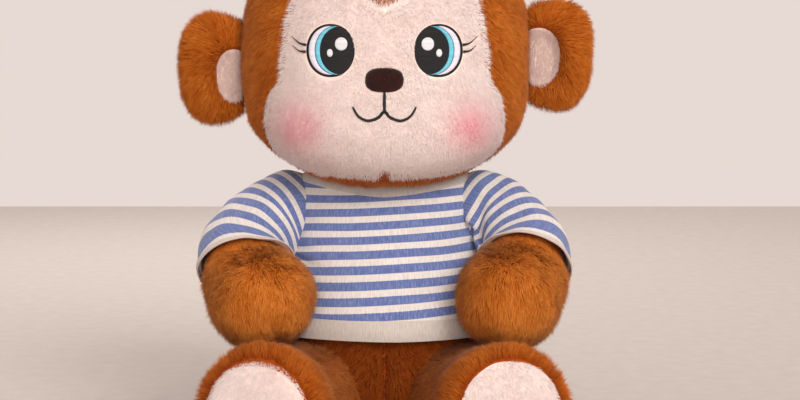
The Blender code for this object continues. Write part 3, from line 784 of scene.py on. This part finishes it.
def stitch(name, line, wide, high, node, side=1, taper=False):
    """A raised line of satin stitch along points (x, z) in mm."""
    count = max(12, int(len(line) * 7))
    mid = catmull(line, np.linspace(0, len(line) - 1, count))
    along = unit(np.gradient(mid, axis=0))
    normal = vectors(-along[:, 1], along[:, 0])
    share = np.linspace(0, 1, count)
    if taper:
        half = wide / 2 * (1 - 0.82 * share) * smooth(share, -0.05, 0.06)
    else:
        half = wide / 2 * np.sin(math.pi * (share * 0.92 + 0.04)) ** 0.25
    across = np.linspace(-1, 1, 9)
    flat = (mid[:, None] + normal[:, None] * (half[:, None] * across[None])[..., None]) * [side, 1]
    ridges = 1 + 0.08 * np.sin(share * count * 2.2)[:, None]
    height = high * np.sqrt(1 - 0.96 * across**2)[None] * ridges * (half / half.max())[:, None] ** 0.5
    threads = vectors(across[None] * wide / 2, (share * count)[:, None] * 0.4)
    embroidered(name, stuck_on(face_tree, flat, height, wrap=False), threads, BLACK, node)


stitch("smile_stitch", LIPS, *LIP_STITCH, "smile")
stitch("smile_stitch_1", STEM, *LIP_STITCH, None)
for side, word in SIDES:
    for number, lash in enumerate(LASHES, 1):
        stitch(f"lash_stitch_{number}_{word}", lash, *LASH_STITCH, f"lash_{number}_{word}", side, taper=True)

# The nose: a small padded cushion of velvet.
shares = np.linspace(0.01, 1, 22)[:, None, None]
flat = np.array(NOSE) + (nose_line - NOSE) * shares
nose = stuck_on(face_tree, flat, 0.0052 * (1 - shares[..., 0] ** 2.6) ** 0.5 - 0.0004)
stuffed("nose_plush", nose, NOSE_CLOTH, "nose_velvet", "head", 0.8, "nose")
pile("nose_pile", "head", nose, VELVET, (0.1, 0, -1), NOSE_PILE, 50, 0.3)

# ---- ears ----
for side, word in SIDES:
    root_x, root_z = EAR_ROOT[word]
    rows = catmull(EAR_RINGS, np.linspace(0, len(EAR_RINGS) - 1, 60)) * MM
    a = circle(72)
    panel_out, panel_up, panel_half, panel_tall = EAR_PANEL[word]
    x = rows[:, 0:1] + 0 * a
    z = rows[:, 1:2] * np.cos(a)
    y = rows[:, 2:3] * np.sin(a)
    span = np.hypot((x / MM - panel_out) / (panel_half + 3), (z / MM - panel_up) / (panel_tall + 3))
    y = np.where(y < 0, y * (1 - 0.55 * (1 - smooth(span, 0.55, 1.15))), y)
    grid = vectors(side * (root_x * MM + x), y, root_z * MM + z)
    ear = Skin(grid)
    ear = ear.moved(0.0006 * noise(ear.points, 0.02, 30))
    body, nodes = f"{word}_ear", (f"ear_skin_{word}", f"ear_stuffing_{word}")
    stuffed(f"ear_plush_{word}", ear, BROWN_CLOTH, BROWN, body, 0.7, *nodes)

    panel_line = ring((panel_out, panel_up), (panel_half, panel_tall), 72, 2.2)
    shares = np.concatenate([np.linspace(0.001, 0.88, 18), np.linspace(0.92, 1.0, 5)])[:, None, None]
    flat = np.array([panel_out, panel_up]) + (panel_line - [panel_out, panel_up]) * shares
    flat[..., 0] = np.maximum(flat[..., 0], -8.6)  # the lining ends in the seam at the head
    flat = vectors(side * (root_x + flat[..., 0]), root_z + flat[..., 1])
    lining = stuck_on(ear.tree(), flat, 0.0011 * (1 - shares[..., 0] ** 8) - 0.0003)
    stuffed(f"ear_lining_{word}", lining, CREAM_CLOTH, CREAM, body, 0.5, f"ear_panel_{word}")

    def from_middle(p):
        """Where points are from the middle of the ear's root, in mm, outwards along x."""
        return vectors(side * p[:, 0] / MM - root_x, 0, p[:, 2] / MM - root_z)

    def ear_keep(p, n):
        q = from_middle(p)
        span = np.hypot((q[:, 0] - panel_out) / panel_half, (q[:, 2] - panel_up) / panel_tall)
        return ~((p[:, 1] < 0) & (span < 1.0)) & (q[:, 0] > -9)

    def ear_comb(p, n):
        q = from_middle(p) * [side, 1, 1]
        return unit(q) * 0.8 + np.array([0, 0, -0.55])

    pile(f"ear_pile_{word}", body, ear, EAR_FUR, ear_comb, BROWN_PILE, 40, 0.3, keep=ear_keep)
    lining_comb = (0.2 * side, 0, -1)
    pile(f"ear_lining_pile_{word}", body, lining, SHORT_FUR, lining_comb, EAR_PILE_PAINTED_SHADE, 28, 0.15)

# ---- torso and neck ----
torso = Skin(upright_grid(TORSO_ROWS, 70, 120, BODY_POWER))
seam = np.exp(-((torso.points[:, 0] / 0.0035) ** 2)) * (torso.points[:, 2] > 0.01)
torso = torso.moved(-0.0028 * seam + 0.0009 * noise(torso.points, 0.04, 41))
stuffed("torso_plush", torso, BROWN_CLOTH, BROWN, "torso", 0.9, "torso_skin", "torso_stuffing")


def lap_painted_shade(p, n):
    """Painted shade: the middle seam and the lap between the legs are the deepest brown."""
    return 0.08 - 0.45 * smooth(-p[:, 1], 0.015, 0.05) - 0.2 * np.exp(-((p[:, 0] / 0.003) ** 2))


def torso_comb(p, n):
    """Down, and away from the middle seam."""
    return vectors(np.sign(p[:, 0]) * 0.5, 0, -1)


# The torso's pile is painted darker at the lap and along the middle seam: painted shade.
pile(
    "torso_pile", "torso", torso, TORSO_FUR, torso_comb, BELLY_PILE_PAINTED_SHADE, 34, 0.2, tone=lap_painted_shade,
    keep=lambda p, n: (p[:, 2] < 0.112) & (n[:, 2] > -0.8),
)
neck = Skin(upright_grid(NECK_ROWS, 30, 60))
stuffed("neck_plush", neck, BROWN_CLOTH, BROWN, "neck", 0.8, "neck_plug")


# ---- legs and arms ----
def limb(stations, end, power, tall=1.0, rings=70, around=96):
    """A limb along its stations, rounded at its start and end, and its frame at the last station."""
    centre, radius, sideways, upward, ahead = path_rings(stations, np.linspace(0, len(stations) - 1, rings))
    first, last = ((centre[k], radius[k], sideways[k], upward[k], ahead[k]) for k in (0, -1))
    back = -np.cos(np.linspace(0.05, math.pi / 2, 10, endpoint=False))
    cap = np.sin(np.linspace(0.06, math.pi / 2, 26)) ** 0.8

    def at_both_ends(before, along, after):
        before = np.broadcast_to(before, (len(back), *along.shape[1:]))
        return np.concatenate([before, along, np.broadcast_to(after, (len(cap), *along.shape[1:]))])

    start_at = first[0] + first[4] * back[:, None] * first[1] * 0.9
    end_at = last[0] + last[4] * (cap * end * MM)[:, None]
    centre = at_both_ends(start_at, centre, end_at)
    end_radius = last[1] * (1 - np.clip(cap, 0, 0.9995) ** power) ** 0.5
    radius = at_both_ends(first[1] * np.sqrt(1 - back**2), radius, end_radius)
    sideways = at_both_ends(first[2], sideways, last[2])
    upward = at_both_ends(first[3], upward, last[3])
    grid = tube_grid(centre, sideways * radius[:, None], upward * radius[:, None] * tall, around)
    grid[..., 2] = np.maximum(grid[..., 2], 0.0008)
    return grid, last


for side, word in SIDES:
    stations = on_side(LEG, side)
    grid, (centre, radius, sideways, upward, ahead) = limb(stations, SOLE_END, SOLE_POWER, SOLE_TALL)
    leg = Skin(grid)
    leg = leg.moved(0.001 * noise(leg.points, 0.03, 50 + side))
    body, nodes = f"{word}_leg", (f"leg_skin_{word}", f"leg_stuffing_{word}")
    stuffed(f"leg_plush_{word}", leg, BROWN_CLOTH, BROWN, body, 0.9, *nodes)

    shares = np.concatenate([np.linspace(0.001, 0.9, 24), np.linspace(0.92, 1.0, 7)])[:, None] * SOLE_SHARE
    a = circle(96)
    depth = SOLE_END * MM * (1 - shares**2) ** (1 / SOLE_POWER)
    depth = depth + 0.0022 * (1 - (shares / SOLE_SHARE) ** 9) - 0.0006
    sole_grid = (
        centre + ahead * depth[..., None]
        + (sideways * np.cos(a)[:, None] + upward * SOLE_TALL * np.sin(a)[:, None]) * radius * shares[..., None]
    )
    sole = Skin(sole_grid, out=tuple(ahead))
    sole = sole.moved(0.0008 * noise(sole.points, 0.022, 60 + side))
    stuffed(f"sole_plush_{word}", sole, CREAM_CLOTH, CREAM, body, 0.8, f"sole_pad_{word}")

    def leg_keep(p, n):
        """Not on the sole, in the torso or on the floor."""
        q = p - centre
        beyond = q @ ahead
        off = np.hypot(q @ sideways, q @ upward / SOLE_TALL) / radius
        in_torso = (np.abs(p[:, 0]) < 0.075) & (p[:, 1] > -0.05)
        return ~((beyond > 0.010) & (off < SOLE_SHARE + 0.01)) & ~in_torso & (n[:, 2] > -0.93)

    def leg_comb(p, n):
        """Down and a little forward on the leg, and out over the rim away from the sole."""
        beyond = smooth((p - centre) @ ahead, -0.012, 0.004)[:, None]
        out = unit((p - centre) - ((p - centre) @ ahead)[:, None] * ahead)
        return (ahead * 0.3 + np.array([0, 0.1, -0.6])) * (1 - beyond) + (out * 0.8 - ahead * 0.5) * beyond

    def sole_comb(p, n):
        """Down, and out from the middle."""
        return (p - centre) * 18 + np.array([0, 0, -1.0])

    pile(f"leg_pile_{word}", body, leg, LEG_FUR, leg_comb, LEG_PILE_PAINTED_SHADE, 40, 0.35, keep=leg_keep)
    pile(f"sole_pile_{word}", body, sole, SHORT_FUR, sole_comb, CREAM_PILE, 28, 0.15)

for side, word in SIDES:
    stations = on_side(ARM, side)
    grid, (centre, radius, sideways, upward, ahead) = limb(stations, PAW_END, 2.2)
    arm = Skin(grid)
    tip = centre + ahead * PAW_END * MM
    dimple = np.exp(-(((arm.points - (tip + np.array([0, 0, -0.008]))) ** 2).sum(1)) / 0.011**2)
    arm = arm.moved(0.0012 * noise(arm.points, 0.03, 70 + side) - 0.004 * dimple)
    body, nodes = f"{word}_arm", (f"arm_skin_{word}", f"arm_stuffing_{word}")
    stuffed(f"arm_plush_{word}", arm, BROWN_CLOTH, BROWN, body, 0.85, *nodes)
    sleeve_edge, sleeve_wide, _, sleeve_up, sleeve_way = path_rings(stations, np.array([SLEEVE_END]))

    def past_sleeve(p, over):
        """How far points are past a sleeve whose top edge reaches over the paw by over, in mm."""
        q = p - sleeve_edge[0]
        high = np.clip(q @ sleeve_up[0] / sleeve_wide[0], -1, 1)
        return q @ sleeve_way[0] - over * MM * (0.5 + 0.5 * high)

    def paw_keep(p, n):
        return past_sleeve(p, OVER_PAW[word] - 5) > -0.004

    def paw_comb(p, n):
        """Forward and down, in a swirl round a spot low on the paw's end."""
        q = tip + np.array([0, 0, -0.010]) - p
        near = np.exp(-(norm(q) / 0.03) ** 2)[:, None]
        return unit(q) * (0.45 + 0.8 * near) + np.array([0.12 * side, -0.45, -0.5])

    def paw_lift(p, n):
        """Pressed flat where the fibres leave the sleeve."""
        return 10 + 27 * smooth(past_sleeve(p, OVER_PAW[word]), -0.004, 0.008)

    pile(f"paw_pile_{word}", body, arm, PAW_FUR, paw_comb, PAW_PILE_PAINTED_LIGHT, paw_lift, 0.4, keep=paw_keep)

# ---- tail ----
tail_stations = [(*p, TAIL_RADIUS) for p in TAIL]
tail_grid, _ = limb(tail_stations, TAIL_RADIUS + 3, 2.0, rings=110, around=48)
tail = Skin(tail_grid)
tail_centres, _, _, _, tail_ways = path_rings(tail_stations, np.linspace(0, len(TAIL) - 1, 60))


def nearest_ring(p):
    return ((p[:, None] - tail_centres[None]) ** 2).sum(-1).argmin(1)


# The tail bends round its own middle, so its outside is told from its centre line.
if ((tail.points - tail_centres[nearest_ring(tail.points)]) * tail.normals).sum() < 0:
    tail.normals, tail.quads = -tail.normals, tail.quads[:, ::-1]
stuffed("tail_plush", tail, BROWN_CLOTH, BROWN, "tail", 0.9, "tail_skin", "tail_stuffing")
pile(
    "tail_pile", "tail", tail, TAIL_FUR, lambda p, n: tail_ways[nearest_ring(p)] + np.array([0, 0, -0.2]),
    BROWN_PILE, 38, 0.3, keep=lambda p, n: p[:, 1] > 0.068,
)


# ---- T-shirt ----
def cloth_piece(name, skin, material, cloth, thick, node, body=None):
    """A sewn piece of the shirt, given its thickness by a solidify modifier."""
    made = surface(name, skin, material, cloth, goes_round=True)
    solid = made.modifiers.new("thickness", "SOLIDIFY")
    solid.thickness, solid.offset = thick, 1
    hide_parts(node)
    if body:
        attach(made, body)
    area = skin.areas().sum()
    return made


def around_cloth(grid, v):
    """Flat cloth coordinates: the columns' mean spacing along u, and v as given."""
    cols = grid.shape[1]
    length = norm(np.diff(grid, axis=1)).sum(1).mean() * cols / (cols - 1)
    return vectors(np.arange(cols) * length / cols, v)


def raised_shoulders(grid):
    """Lift and widen the top rows of the shirt at both sides, where they run into the sleeves."""
    c = np.abs(np.cos(circle(grid.shape[1])))[None]
    up = smooth(grid[..., 2], 0.180, 0.210) * c**1.6
    grid = grid.copy()
    grid[..., 2] += 0.011 * up
    grid[..., 0] *= 1 + 0.24 * up
    return grid


def shirt_folds(p):
    """Soft drape: pulls from both armpits, and a slack fold low at the sides."""
    x, z = np.abs(p[:, 0]), p[:, 2]
    pull_x, pull_z = x - 0.078, z - 0.163
    angle = np.arctan2(pull_z, -pull_x)
    far = np.hypot(pull_x, pull_z)
    fan = np.sin(angle * 9 + 4 * np.sign(p[:, 0])) * np.exp(-far / 0.022) * smooth(far, 0.0, 0.012)
    wide = noise(p * [1, 1, 2.2], 0.035, 80)
    low_side = smooth(x, 0.05, 0.09) * smooth(-z, -0.150, -0.125)
    ripple = np.sin(z / 0.0075 + 30 * x + 3 * noise(p, 0.03, 84)) * low_side
    return 0.0016 * fan + 0.0017 * wide + 0.0008 * ripple


def draped(grid):
    """A skin of the shirt with its folds."""
    skin = Skin(grid)
    return skin.moved(shirt_folds(skin.points))


shirt_grid = raised_shoulders(upright_grid(SHIRT_ROWS, 110, SHIRT_COLUMNS, BODY_POWER))
front_column = shirt_grid[:, SHIRT_COLUMNS * 3 // 4]
front_arc = STRIPE_START + np.concatenate([[0], np.cumsum(norm(np.diff(front_column, axis=0)))])
front_arc = front_arc - np.interp(STRIPE_START, front_column[:, 2], front_arc) + STRIPE_START
wander = 0.0012 * noise(shirt_grid.reshape(-1, 3), 0.05, 90).reshape(shirt_grid.shape[:2])
level = shirt_grid[..., 2] - STRIPE_TILT * shirt_grid[..., 0] - wander
shirt_v = np.interp(level, front_column[:, 2], front_arc)
shirt_v = shirt_v + np.clip(level - front_column[-1, 2], 0, None) + np.clip(level - front_column[0, 2], None, 0)
cloth_piece(
    "shirt_cloth", draped(shirt_grid), STRIPED, around_cloth(shirt_grid, shirt_v), JERSEY_THICK,
    "shirt_body", "torso",
)
hem_grid = upright_grid(HEM_ROWS, 22, SHIRT_COLUMNS, BODY_POWER)
collar_grid = raised_shoulders(upright_grid(COLLAR_ROWS, 16, SHIRT_COLUMNS, BODY_POWER))
for name, grid in (("hem", hem_grid), ("collar", collar_grid)):
    cloth_piece(
        f"shirt_{name}_band", draped(grid), RIB_PAINTED_SHADE, around_cloth(grid, grid[..., 2]), HEM_THICK,
        f"shirt_{name}", "torso",
    )


def round_arm(centre, across, along, ahead, reach):
    """Rings of cloth pushed along the arm by reach, and flaring a little as far as they are."""
    grid = tube_grid(centre, across, along, SLEEVE_COLUMNS) + ahead[:, None] * reach
    return grid + unit(grid - centre[:, None]) * reach * EDGE_FLARE


for side, word in SIDES:
    stations = on_side(ARM, side)
    a = circle(SLEEVE_COLUMNS)[None]
    over_paw = OVER_PAW[word] * MM * (0.5 + 0.5 * np.sin(a))
    t = np.linspace(0, SLEEVE_END - 0.06, 80)
    centre, radius, sideways, upward, ahead = path_rings(stations, t)
    wide = radius + (6.6 - 1.8 * smooth(t, 0.2, 1.6)) * MM
    turn = np.radians(np.linspace(82, 4, SHOULDER_RINGS))  # the rounded shoulder, partly inside the shirt's body
    centre = np.concatenate([centre[0] - ahead[0] * wide[0] * np.sin(turn)[:, None], centre])
    down_arm = norm(centre[SHOULDER_RINGS:] - centre[SHOULDER_RINGS])
    run = np.concatenate([wide[0] * (turn[0] - turn), wide[0] * turn[0] + down_arm])
    wide = np.concatenate([wide[0] * np.cos(turn), wide])[:, None]
    t = np.concatenate([-turn, t])
    sideways, upward, ahead = (
        np.concatenate([np.repeat(way[:1], SHOULDER_RINGS, 0), way]) for way in (sideways, upward, ahead)
    )
    reach = (smooth(t, 0.9, SLEEVE_END)[:, None] * over_paw)[..., None]
    grid = round_arm(centre, sideways * wide, upward * wide, ahead, reach)
    armpit = smooth(np.cos(a + 0.7), -0.1, 1.0)
    fan = np.sin(5.5 * a + 3.6 * t[:, None]) * smooth(-np.abs(t[:, None] - 0.9), -1.3, -0.2)
    sleeve = Skin(grid)
    rumple = 0.0015 * noise(sleeve.points * RUMPLE_STRETCH, RUMPLE, 95 + side)
    sleeve = sleeve.moved((0.0034 * fan * armpit).ravel() + rumple)
    v = STRIPE_START - 0.002 + run[:, None] * 1.05 + 0.004 * np.sin(a)
    made = cloth_piece(
        f"sleeve_cloth_{word}", sleeve, STRIPED, around_cloth(grid, v), JERSEY_THICK,
        f"sleeve_{word}",
    )
    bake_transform(made)

    # The cuff: its upper part lies under the sleeve, and its edge turns out just past it.
    t = np.linspace(SLEEVE_END - 0.36, SLEEVE_END + 0.02, 24)
    centre, radius, sideways, upward, ahead = path_rings(stations, t)
    wide = (radius + (3.2 + 2.6 * smooth(t, SLEEVE_END - 0.11, SLEEVE_END - 0.05)) * MM)[:, None]
    grid = round_arm(centre, sideways * wide, upward * wide, ahead, over_paw[..., None])
    cuff = Skin(grid)
    cuff = cuff.moved(0.0013 * noise(cuff.points * RUMPLE_STRETCH, RUMPLE, 95 + side))
    v = norm(centre - centre[0])[:, None]
    cloth_piece(
        f"cuff_cloth_{word}", cuff, RIB_PAINTED_SHADE, around_cloth(grid, v), CUFF_THICK, f"cuff_{word}",
        f"{word}_arm",
    )

# ---- floor, light and camera ----
floor_mesh = bpy.data.meshes.new("floor")
floor_mesh.from_pydata([(-3, -3, 0), (3, -3, 0), (3, 1.8, 0), (-3, 1.8, 0)], [], [(0, 1, 2, 3)])
n = Nodes("floor")
speck = n.noise(n.add("TexCoord").outputs["Object"], 60.0, 3.0)
n.link(n.ramp(speck, [(0.3, linear(182, 174, 168)), (0.7, linear(188, 180, 174))]), "Base Color")
n.set(Roughness=0.9, Specular_IOR_Level=0.2)
floor_mesh.materials.append(n.material)
linked("floor", floor_mesh)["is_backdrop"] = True

world = bpy.data.worlds.new("studio")
bpy.context.scene.world = world
world.use_nodes = True
background = world.node_tree.nodes["Background"].inputs
background["Color"].default_value, background["Strength"].default_value = linear(255, 240, 233), 0.8


def light(name, kind, place, aim, energy, colour, **settings):
    data = bpy.data.lights.new(name, kind)
    data.energy, data.color = energy, colour
    for key, value in settings.items():
        setattr(data, key, value)
    made = linked(name, data)
    made.location = place
    made.rotation_euler = (Vector(aim) - Vector(place)).to_track_quat("-Z", "Y").to_euler()


CHEST = (0, 0, 0.25)
light("key", "SUN", (0.72, -1.3, 0.95), (0, 0, 0), 1.9, (1.0, 0.965, 0.93), angle=math.radians(28))
light("front", "AREA", (0.1, -1.9, 0.25), CHEST, 14, (1.0, 0.97, 0.96), size=1.2)
light("back", "AREA", (-0.3, 1.3, 1.1), CHEST, 9, (1.0, 0.98, 0.96), size=0.9)

camera_data = bpy.data.cameras.new("camera")
camera_data.lens, camera_data.sensor_width = 87.3, 36.0
camera = linked("camera", camera_data)
camera.location = (0.012, -1.5917, 0.3679)
camera.rotation_euler = (math.radians(84), 0, 0)
bpy.context.scene.camera = camera
bpy.context.scene.view_settings.view_transform = "Standard"

low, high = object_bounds()
for label, (a, b) in (("visual", (low, high)), ("CAD", (cad_low, cad_high))):
    print(label, "size in mm", [round((end - start) * 1000, 1) for start, end in zip(a, b)])
